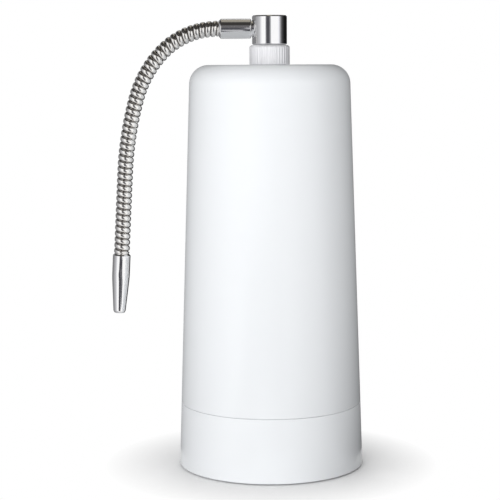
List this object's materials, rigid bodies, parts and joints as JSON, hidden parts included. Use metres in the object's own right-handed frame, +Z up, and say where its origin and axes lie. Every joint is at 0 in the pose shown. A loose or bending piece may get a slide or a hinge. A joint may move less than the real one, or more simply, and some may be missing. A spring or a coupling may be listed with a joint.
{
  "type": "countertop water purifier",
  "caption": "Countertop water purifier: tapered white housing on a screw base, cartridge inside, swivel elbow on top with a wound flexible spout and nozzle.",
  "frame": {"origin": "centre of the rubber foot ring's underside, on the housing's axis, at the surface that the purifier stands on", "axes": "+Z up along the housing's axis; -X towards the spout at rest; +Y to the back, where the inlet is"},
  "size_m": [0.1794, 0.152, 0.3207],
  "materials": {
    "white_moulding": "smooth glossy moulding",
    "collar_plastic": "satin moulding with fine upright flutes",
    "chrome_plate": "polished plating",
    "stainless": "bright wound strip",
    "black_rubber": "moulded rubber",
    "fitting_plastic": "satin acetal",
    "collet_plastic": "satin acetal",
    "cap_plastic": "moulded polypropylene",
    "carbon": "sintered carbon, slightly grainy",
    "felt": "non-woven felt",
    "liner_plastic": "smooth extruded hose"
  },
  "bodies": {
    "base": {"base_cup": "white_moulding", "foot_ring": "black_rubber", "housing_seal": "black_rubber", "inlet_fitting": "fitting_plastic", "inlet_seal": "black_rubber", "inlet_collet": "collet_plastic", "bottom_gasket": "black_rubber", "bottom_cap": "cap_plastic", "core_tube": "cap_plastic", "carbon_block": "carbon", "prefilter_wrap": "felt", "top_cap": "cap_plastic", "top_gasket": "black_rubber"},
    "housing": {"housing": "white_moulding", "collar_nut": "collar_plastic"},
    "spout": {"spout_elbow": "chrome_plate", "tail_seal": "black_rubber", "slip_washer": "cap_plastic", "retaining_ring": "stainless", "hose_nipple": "chrome_plate", "hose_ferrule": "chrome_plate", "wound_spout": "stainless", "liner_hose": "liner_plastic", "nozzle": "chrome_plate"}
  },
  "joints": [
    {"name": "housing_lift", "type": "slide", "parent": "base", "child": "housing", "axis": [0, 0, 1], "range_m": [0, 0.3]},
    {"name": "spout_swivel", "type": "hinge", "parent": "housing", "child": "spout", "pos_m": [0, 0, 0.3105], "axis": [0, 0, 1], "continuous": true}
  ]
}
